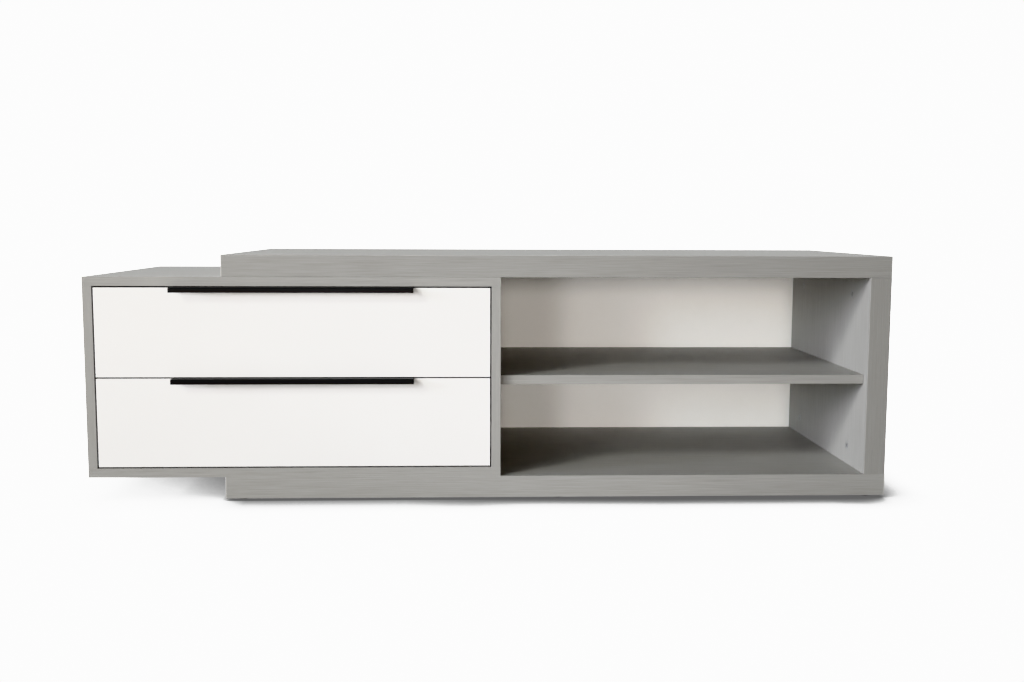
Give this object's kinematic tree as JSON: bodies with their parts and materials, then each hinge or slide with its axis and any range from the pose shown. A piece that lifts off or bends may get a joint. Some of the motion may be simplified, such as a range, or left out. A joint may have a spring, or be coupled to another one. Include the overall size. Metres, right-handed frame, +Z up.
{
  "type": "television cabinet",
  "caption": "Low television cabinet: a drawer box on ball runners set into a thick C-shaped frame and reaching out past its open left side, with an open bay and shelf on the right.",
  "frame": {"origin": "on the floor, under the middle of the overall outline", "axes": "+X along the width, from the drawers to the open bay; -Y out of the front; +Z up"},
  "size_m": [1.4, 0.5, 0.43],
  "materials": {
    "grey_decor_board": "matt grey decor on particle board",
    "white_panel": "white lacquered thin fibreboard",
    "white_board": "matt white particle board",
    "white_front": "matt white lacquer",
    "black_profile": "black anodised, satin",
    "runner_steel": "zinc plated",
    "bearing_steel": "polished",
    "zinc_plated_steel": "zinc plated",
    "nickel_steel": "nickel plated",
    "zinc_die_cast": "die cast zinc, matt",
    "beech": "plain beech",
    "dark_plastic": "moulded"
  },
  "bodies": {
    "carcass": {"top_slab": "grey_decor_board", "bottom_slab": "grey_decor_board", "right_side_slab": "grey_decor_board", "box_top": "grey_decor_board", "box_bottom": "grey_decor_board", "box_left_side": "grey_decor_board", "box_right_side": "grey_decor_board", "box_back_panel": "white_panel", "bay_back_panel": "white_panel", "bay_shelf": "grey_decor_board", "shelf_pins": "nickel_steel", "glides": "dark_plastic", "frame_cam_locks": "zinc_die_cast", "frame_cam_bolts": "zinc_plated_steel", "frame_dowels": "beech", "box_cam_locks": "zinc_die_cast", "box_cam_bolts": "zinc_plated_steel", "box_dowels": "beech", "joining_screws": "zinc_plated_steel", "upper_left_cabinet_rail": "runner_steel", "upper_right_cabinet_rail": "runner_steel", "lower_left_cabinet_rail": "runner_steel", "lower_right_cabinet_rail": "runner_steel", "cabinet_rail_screws": "zinc_plated_steel"},
    "upper_drawer": {"upper_drawer_front": "white_front", "upper_handle": "black_profile", "upper_handle_screws": "zinc_plated_steel", "upper_inner_front": "white_board", "upper_left_drawer_side": "white_board", "upper_right_drawer_side": "white_board", "upper_drawer_back": "white_board", "upper_drawer_bottom": "white_panel", "upper_corner_screws": "zinc_plated_steel", "upper_front_screws": "zinc_plated_steel", "upper_left_drawer_rail": "runner_steel", "upper_right_drawer_rail": "runner_steel", "upper_drawer_rail_screws": "zinc_plated_steel", "upper_release_levers": "dark_plastic"},
    "upper_middle_rails": {"upper_left_middle_rail": "runner_steel", "upper_right_middle_rail": "runner_steel", "upper_ball_cages": "runner_steel", "upper_balls": "bearing_steel"},
    "lower_drawer": {"lower_drawer_front": "white_front", "lower_handle": "black_profile", "lower_handle_screws": "zinc_plated_steel", "lower_inner_front": "white_board", "lower_left_drawer_side": "white_board", "lower_right_drawer_side": "white_board", "lower_drawer_back": "white_board", "lower_drawer_bottom": "white_panel", "lower_corner_screws": "zinc_plated_steel", "lower_front_screws": "zinc_plated_steel", "lower_left_drawer_rail": "runner_steel", "lower_right_drawer_rail": "runner_steel", "lower_drawer_rail_screws": "zinc_plated_steel", "lower_release_levers": "dark_plastic"},
    "lower_middle_rails": {"lower_left_middle_rail": "runner_steel", "lower_right_middle_rail": "runner_steel", "lower_ball_cages": "runner_steel", "lower_balls": "bearing_steel"}
  },
  "joints": [
    {"name": "upper_drawer_slide", "type": "slide", "parent": "carcass", "child": "upper_drawer", "axis": [0, -1, 0], "range_m": [0, 0.4]},
    {"name": "upper_middle_rails_slide", "type": "slide", "parent": "carcass", "child": "upper_middle_rails", "axis": [0, -1, 0], "range_m": [0, 0.2]},
    {"name": "lower_drawer_slide", "type": "slide", "parent": "carcass", "child": "lower_drawer", "axis": [0, -1, 0], "range_m": [0, 0.4]},
    {"name": "lower_middle_rails_slide", "type": "slide", "parent": "carcass", "child": "lower_middle_rails", "axis": [0, -1, 0], "range_m": [0, 0.2]}
  ],
  "couplings": [
    {"joint": "upper_middle_rails_slide", "follows": "upper_drawer_slide", "ratio": 0.5},
    {"joint": "lower_middle_rails_slide", "follows": "lower_drawer_slide", "ratio": 0.5}
  ]
}
